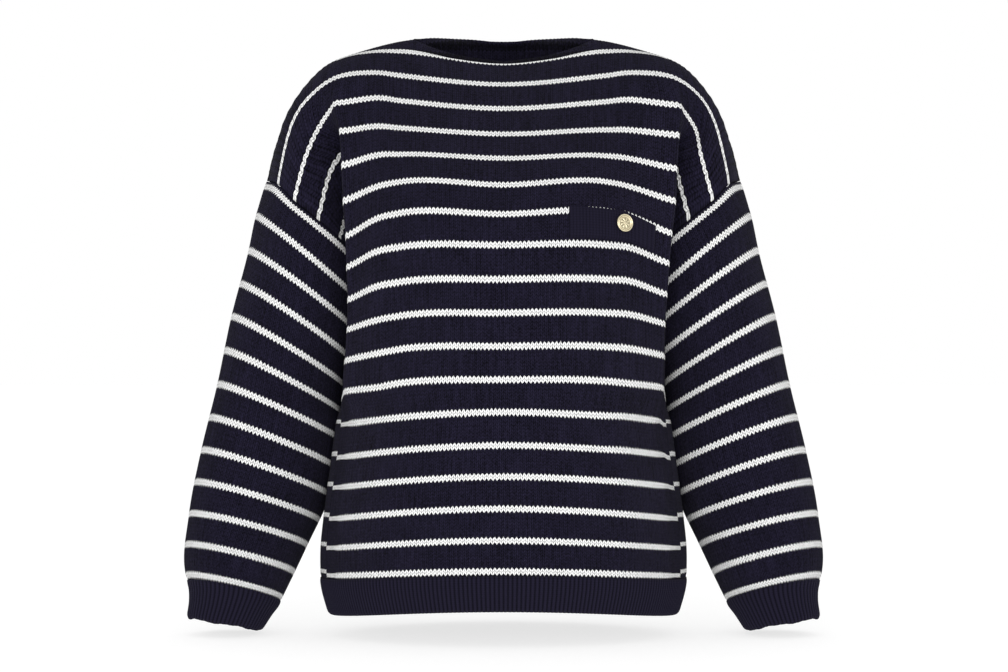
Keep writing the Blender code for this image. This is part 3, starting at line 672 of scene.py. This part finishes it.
def build_panel(name, is_front, material):
    """Front or back of the body, with its columns of stitches raised."""
    wales, distances = even_columns(is_front)
    top_courses, top_places = top_edge(wales, is_front)
    lowest = np.min(top_courses)
    fine = np.arange(lowest, TOP_BAND + 1, 1.0)
    fine_points = panel_surface(fine, wales, is_front)
    top_rows = 9
    shares = np.linspace(0, 1, top_rows + 1)
    upper = np.empty((top_rows + 1, len(wales), 3))
    upper_courses = top_courses + (TOP_BAND - top_courses) * shares[:, None]
    for column in range(len(wales)):
        for part in range(3):
            upper[:, column, part] = np.interp(upper_courses[:, column], fine, fine_points[:, column, part])
    upper[0] = top_places
    row_count = round((HEM_SEAM - TOP_BAND) / ROW_STEP)
    courses = TOP_BAND + (HEM_SEAM - TOP_BAND) * np.arange(1, row_count + 1) / row_count
    outer = np.concatenate((upper, panel_surface(courses, wales, is_front)))
    grid_courses = np.concatenate((upper_courses, np.repeat(courses[:, None], len(wales), axis=1)))
    end_courses = np.concatenate((ARMHOLE[0][0] + (TOP_BAND - ARMHOLE[0][0]) * shares, courses))
    ends = panel_ends(end_courses, is_front)
    outer[:, -1] = ends
    outer[:, 0] = ends * (-1, 1, 1)
    outward = normals_of(outer, False, not is_front)
    inward = -outward
    other = np.array((0.0, 1.0 if is_front else -1.0, 0.0))
    on_shoulder = np.abs(wales) >= SHOULDER[0][0]
    inward[0, on_shoulder] = lean_away(inward[0, on_shoulder], other)
    at_armhole = end_courses <= UNDERARM
    edge_shift = np.zeros_like(outer)
    edge_shift[0, on_shoulder] -= other * SEAM_GAP / 2
    for column, side in ((0, -1.0), (-1, 1.0)):
        axis = armhole_axis(side)
        inward[at_armhole, column] = lean_away(inward[at_armhole, column], axis)
        edge_shift[at_armhole, column] -= axis * ARMHOLE_GAP / 2
        inward[~at_armhole, column] = lean_away(inward[~at_armhole, column], other)
        edge_shift[~at_armhole, column] -= other * SEAM_GAP / 2
    inward[-1] = lean_away(inward[-1], DOWN)
    to_seam = np.minimum(PANEL_END - np.abs(wales)[None, :], 3 + 3 * (HEM_SEAM - grid_courses))
    to_shoulder = np.where(on_shoulder[None, :], grid_courses - top_courses[None, :], 1000.0)
    dip = seam_dip(np.minimum(to_seam, to_shoulder))
    rise = wale_relief(distances, WALE)[None, :] - dip
    outer = outer + edge_shift + outward * rise[:, :, None]
    inner = outer + inward * WALL
    stripe_courses = grid_courses if is_front else grid_courses + BACK_STRIPE_SHIFT
    cloth = np.stack((np.repeat(distances[None, :], len(grid_courses), axis=0), stripe_courses), axis=-1)
    piece = shell(name, outer, inner, cloth, False, not is_front, material, (0,))
    return piece, {"wales": wales, "courses": grid_courses, "outer": outer, "outward": outward}


def sleeve_rings(courses, turns, side):
    """Rings of places round a sleeve; a turn of 0 is its outer side, 90 its front, 180 its inner side."""
    table = at(SLEEVE, courses)
    columns = [column[:, None] for column in table.T]
    outer_out, outer_height, inner_out, inner_height, half_depth, lift, back = columns
    angle = np.radians(turns)[None, :]
    share = (1 + np.cos(angle)) / 2
    out = inner_out + (outer_out - inner_out) * share
    height = inner_height + (outer_height - inner_height) * share + lift * np.sin(angle)
    depth = back * (1 - share) - half_depth * np.sin(angle)
    return np.stack((side * out, depth, height), axis=-1)


def armhole_ring(count, side):
    """The armhole seam as a ring of the sleeve, from its top round the front to the back."""
    half = count // 2
    courses = ARMHOLE[0][0] + (UNDERARM - ARMHOLE[0][0]) * np.arange(half + 1) / half
    front = at(ARMHOLE, courses) * (side, 1, 1)
    back = front[-2:0:-1] * (1, -1, 1)
    return np.concatenate((front, back))


def cuff_axis(side):
    """Direction down the sleeve at the seam of its cuff."""
    rings = sleeve_rings([CUFF_SEAM, CUFF_BOTTOM], [0, 180], side)
    return (rings[1] - rings[0]).mean(axis=0)


def build_sleeve(name, side, material):
    count = 2 * SLEEVE_WALES
    turns = 360.0 * np.arange(count) / count
    table_courses = [SLEEVE_TOP] + [row[0] for row in SLEEVE]
    rings = np.concatenate((armhole_ring(count, side)[None], sleeve_rings(table_courses[1:], turns, side)))
    row_count = round((CUFF_SEAM - SLEEVE_TOP) / ROW_STEP)
    courses = SLEEVE_TOP + (CUFF_SEAM - SLEEVE_TOP) * np.arange(row_count + 1) / row_count
    outer = smooth(table_courses, rings.reshape(len(table_courses), -1), courses)
    outer = outer.reshape(len(courses), count, 3)
    outward = normals_of(outer, True, side > 0)
    inward = -outward
    axis = armhole_axis(side)
    inward[0] = lean_away(inward[0], -axis)
    inward[-1] = lean_away(inward[-1], cuff_axis(side))
    wales = np.arange(count) * WALE / 2
    dip = seam_dip(np.minimum(courses - SLEEVE_TOP, 3 + 3 * (CUFF_SEAM - courses)))
    rise = wale_relief(wales, WALE)[None, :] - dip[:, None]
    outer = outer + outward * rise[:, :, None]
    outer[0] += axis * ARMHOLE_GAP / 2
    inner = outer + inward * WALL
    cloth = np.stack(np.broadcast_arrays(wales[None, :], courses[:, None]), axis=-1)
    return shell(name, outer, inner, cloth, True, side > 0, material, (0,))


def rib_profile(count):
    """Height of ribs at points round a band, with a narrow groove between them."""
    share = (np.arange(count) % RIB_STEPS) / RIB_STEPS
    return RIB_HEIGHT * np.abs(np.sin(np.pi * share)) ** 0.7


def ribbed_band(name, outer, away, wraps, flip, first_wale, rib_pitch, courses, material):
    """A ribbed wall through rings of points; its lower edge is rounded over."""
    outward = normals_of(outer, wraps, flip)
    inward = -outward
    inward[0] = lean_away(inward[0], -np.asarray(away))
    inner = outer + inward * WALL
    count = outer.shape[1]
    fade = np.ones(len(courses))
    fade[0] = 0.5
    fade[-1] = 0.6
    to_end = np.clip(1 - (courses[-1] - np.asarray(courses)) / TURN_IN_REACH, 0, 1)
    turn = 2 * math.pi * np.arange(count) / count
    wave = (EDGE_WAVE if wraps else 0.0) * (np.sin(5 * turn + 1) + 0.6 * np.sin(13 * turn + 2))
    moved = (to_end**2)[:, None, None] * (wave[None, :, None] * unit(np.asarray(away)) - outward * TURN_IN)
    outer = outer + moved
    inner = inner + moved
    outer = outer + outward * (rib_profile(count)[None, :] * fade[:, None])[:, :, None]
    inner = inner - outward * ((RIB_HEIGHT - rib_profile(count))[None, :] * 0.6 * fade[:, None])[:, :, None]
    wales = first_wale + np.arange(count) * rib_pitch / RIB_STEPS
    cloth = np.stack(np.broadcast_arrays(wales[None, :], np.asarray(courses)[:, None]), axis=-1)
    return shell(name, outer, inner, cloth, wraps, flip, material, (-1,))


def build_cuff(name, side, material):
    count = CUFF_RIBS * RIB_STEPS
    turns = 360.0 * np.arange(count) / count
    courses = np.linspace(CUFF_SEAM + SEAM_OVERLAP, CUFF_BOTTOM, 14)
    outer = sleeve_rings(courses, turns, side)
    return ribbed_band(name, outer, cuff_axis(side), True, side > 0, 0.0, CUFF_RIB_PITCH, courses, material)


def build_hem(name, first_turn, last_turn, ribs, material):
    half_gap = math.degrees(SEAM_GAP / 2 / LOWER_BODY[-1][1])
    turns = np.linspace(first_turn + half_gap, last_turn - half_gap, RIB_STEPS * ribs + 1)
    courses = np.linspace(HEM_SEAM + SEAM_OVERLAP, HEM_BOTTOM, 14)
    outer = np.array([lower_body(np.full(len(turns), course), turns) for course in courses])
    return ribbed_band(name, outer, DOWN, False, False, 0.0, HEM_RIB_PITCH, courses, material)


def on_panel(panel, wales, courses):
    """Places on a panel's own faces, and the ways out of the cloth there."""
    column = np.clip(np.searchsorted(panel["wales"], wales) - 1, 0, len(panel["wales"]) - 2)
    step = panel["wales"][column + 1] - panel["wales"][column]
    across = ((wales - panel["wales"][column]) / step)[..., None]
    row_courses = panel["courses"][:, np.argmin(np.abs(panel["wales"]))]
    row = np.clip(np.searchsorted(row_courses, courses) - 1, 0, len(row_courses) - 2)
    down = ((courses - row_courses[row]) / (row_courses[row + 1] - row_courses[row]))[..., None]
    result = []
    for field in (panel["outer"], panel["outward"]):
        upper = field[row, column] * (1 - across) + field[row, column + 1] * across
        lower = field[row + 1, column] * (1 - across) + field[row + 1, column + 1] * across
        result.append(upper * (1 - down) + lower * down)
    return result[0], unit(result[1])


def build_pocket_band(panel, material):
    count = BAND_RIBS * RIB_STEPS + 1
    wales, shares = np.meshgrid(np.linspace(*BAND_WALES, count), np.linspace(0, 1, 12))
    tops = np.interp(wales, *np.transpose(BAND_TOP))
    courses = tops + (BAND_BOTTOM - tops) * shares
    places, outward = on_panel(panel, wales, courses)
    edge = np.minimum(courses - tops, BAND_BOTTOM - courses)
    edge = np.minimum(edge, np.minimum(wales - BAND_WALES[0], BAND_WALES[1] - wales))
    crown = 1 - np.exp(-edge / 1.2)
    lift = SEAM_GAP + WALE_RELIEF + 0.4 + (BAND_WALL - 0.4) * crown + 0.5 * rib_profile(count)[None, :] * crown
    outer = places + outward * lift[:, :, None]
    inner = places + outward * (SEAM_GAP + 0.1)
    cloth = np.stack(((wales - BAND_WALES[0]) * BAND_SCALE, courses), axis=-1)
    return shell("pocket_band", outer, inner, cloth, False, False, material, ())


def build_button(panel, material):
    """Brass button with a raised rim, a ring of rope beads and a plain rosette."""
    place, outward = on_panel(panel, np.array([BUTTON_PLACE[0]]), np.array([BUTTON_PLACE[1]]))
    lift = SEAM_GAP + WALE_RELIEF + BAND_WALL + 0.9
    back = SHANK_LENGTH
    face = SHANK_LENGTH + BUTTON_FACE
    steps = 216
    # Rows: share of the radius, height above the band, bead height, petal height
    profile = (
        (0.26, 0.0, 0, 0), (0.29, back, 0, 0), (0.80, back, 0, 0), (0.96, back + 0.5, 0, 0),
        (1.0, back + 1.0, 0, 0), (1.0, face - 0.6, 0, 0), (0.985, face - 0.2, 0, 0), (0.95, face, 0, 0),
        (0.90, face + 0.05, 0, 0), (0.86, face - 0.1, 0, 0), (0.83, face - 0.55, 0, 0),
        (0.80, face - 0.62, 0, 0), (0.775, face - 0.45, 0.10, 0), (0.74, face - 0.25, 0.22, 0),
        (0.705, face - 0.45, 0.10, 0), (0.68, face - 0.62, 0, 0), (0.60, face - 0.6, 0, 0),
        (0.55, face - 0.58, 0, 0.10), (0.45, face - 0.5, 0, 0.28), (0.32, face - 0.45, 0, 0.30),
        (0.20, face - 0.4, 0, 0.18), (0.15, face - 0.38, 0, 0.0), (0.13, face - 0.2, 0, 0),
        (0.08, face - 0.1, 0, 0), (0.02, face - 0.07, 0, 0),
    )
    angle = 2 * math.pi * np.arange(steps) / steps
    beads = np.abs(np.sin(angle * 18)) ** 0.8
    petals = np.clip(np.cos(angle * PETALS), 0, 1) ** 0.8
    rings = []
    for share, height, bead, petal in profile:
        radius = share * BUTTON_RADIUS
        rise = height + bead * beads + petal * petals
        rings.append(np.stack((radius * np.cos(angle), radius * np.sin(angle), rise), axis=-1))
    points = np.concatenate(rings)
    index = np.arange(len(points)).reshape(len(profile), steps)
    following = np.roll(index, -1, axis=1)
    quads = np.stack((index[:-1], following[:-1], following[1:], index[1:]), axis=-1).reshape(-1, 4)
    faces = quads.tolist() + [index[0][::-1].tolist(), index[-1].tolist()]
    turn = Vector((0, 0, 1)).rotation_difference(Vector(outward[0]))
    turned = points @ np.array(turn.to_matrix()).T + place[0] + outward[0] * lift
    shares = np.repeat([row[0] for row in profile], steps)
    cloth = np.stack((shares, np.tile(angle, len(profile))), axis=-1)
    return make_piece("button", turned, faces, cloth, material)


def build_camera():
    width = PHOTO_WIDTH * PHOTO_MM_PER_PIXEL
    camera = bpy.data.cameras.new("camera")
    camera.sensor_width = SENSOR_WIDTH
    camera.lens = SENSOR_WIDTH * CAMERA_DISTANCE / width
    camera.clip_end = 50.0
    holder = bpy.data.objects.new("camera", camera)
    holder.location = (0.5 * MM, -CAMERA_DISTANCE * MM, CAMERA_HEIGHT * MM)
    holder.rotation_euler = (math.pi / 2, 0, 0)
    bpy.context.scene.collection.objects.link(holder)
    bpy.context.scene.camera = holder


def build_light(name, place, target, size, power):
    data = bpy.data.lights.new(name, "AREA")
    data.shape = "RECTANGLE"
    data.size, data.size_y = size
    data.energy = power
    light = bpy.data.objects.new(name, data)
    light.location = place
    direction = Vector(target) - Vector(place)
    light.rotation_euler = direction.to_track_quat("-Z", "Y").to_euler()
    bpy.context.scene.collection.objects.link(light)


def build_stage():
    """Pale floor, white surroundings and soft lights at the front."""
    lowest = float(np.array(cad_box)[0][2])
    mesh = bpy.data.meshes.new("floor")
    reach = 12.0
    floor = lowest - FLOOR_DROP
    mesh.from_pydata([(-reach, -reach, floor), (reach, -reach, floor), (reach, reach, floor),
                      (-reach, reach, floor)], [], [(0, 1, 2, 3)])
    piece = bpy.data.objects.new("floor", mesh)
    bpy.context.scene.collection.objects.link(piece)
    nodes = Nodes("floor")
    place = nodes.tree.nodes.new("ShaderNodeTexCoord").outputs["Object"]
    grain = nodes.noise(place, 3.0, 2.0)
    nodes.put(nodes.shader.inputs["Base Color"], nodes.mix(grain, four(PALE), four([c * 0.99 for c in PALE])))
    nodes.shader.inputs["Roughness"].default_value = 1.0
    nodes.shader.inputs["Specular IOR Level"].default_value = 0.0
    nodes.shader.inputs["Emission Color"].default_value = four(WHITE)
    nodes.shader.inputs["Emission Strength"].default_value = FLOOR_GLOW
    mesh.materials.append(nodes.material)
    world = bpy.data.worlds.new("studio")
    world.use_nodes = True
    world.node_tree.nodes["Background"].inputs["Color"].default_value = (1, 1, 1, 1)
    seen = world.node_tree.nodes.new("ShaderNodeLightPath").outputs["Is Camera Ray"]
    strength = world.node_tree.nodes.new("ShaderNodeMath")
    strength.operation = "MULTIPLY_ADD"
    world.node_tree.links.new(seen, strength.inputs[0])
    strength.inputs[1].default_value = 1.0 - SURROUNDINGS
    strength.inputs[2].default_value = SURROUNDINGS
    background = world.node_tree.nodes["Background"]
    world.node_tree.links.new(strength.outputs[0], background.inputs["Strength"])
    bpy.context.scene.world = world
    bpy.context.scene.view_settings.view_transform = "Standard"
    build_light("key", (-0.4, -3.2, -0.05), (0, 0, -0.3), (2.4, 1.6), 42)
    build_light("fill", (1.2, -3.0, -0.3), (0, 0, -0.3), (1.6, 1.6), 18)


def build_jumper():
    body_knit = knit_material("front_knit", STRIPE_REPEAT, -STRIPE_REPEAT / 2, True, True)
    back_knit = knit_material("back_knit", STRIPE_REPEAT, STRIPE_REPEAT / 2, False, True)
    sleeve_knit = knit_material("sleeve_knit", SLEEVE_REPEAT, -SLEEVE_REPEAT / 2, False, False)
    hem_rib = rib_material("hem_rib", HEM_RIB_PITCH)
    cuff_rib = rib_material("cuff_rib", CUFF_RIB_PITCH)
    front, front_panel = build_panel("front_panel", True, body_knit)
    back, back_panel = build_panel("back_panel", False, back_knit)
    for word, side in (("left", -1.0), ("right", 1.0)):
        sleeve = build_sleeve("sleeve_" + word, side, sleeve_knit)
        cuff = build_cuff("cuff_" + word, side, cuff_rib)
    front_ribs = round(HEM_RIBS * SIDE_TURN / 180)
    hem_front = build_hem("hem_rib_front", -SIDE_TURN, SIDE_TURN, front_ribs, hem_rib)
    hem_back = build_hem("hem_rib_back", SIDE_TURN, 360 - SIDE_TURN, HEM_RIBS - front_ribs, hem_rib)
    band = build_pocket_band(front_panel, rib_material("band_rib", BAND_RIB_PITCH, 0.3))
    build_button(front_panel, brass_material())


build_camera()
build_jumper()
build_stage()
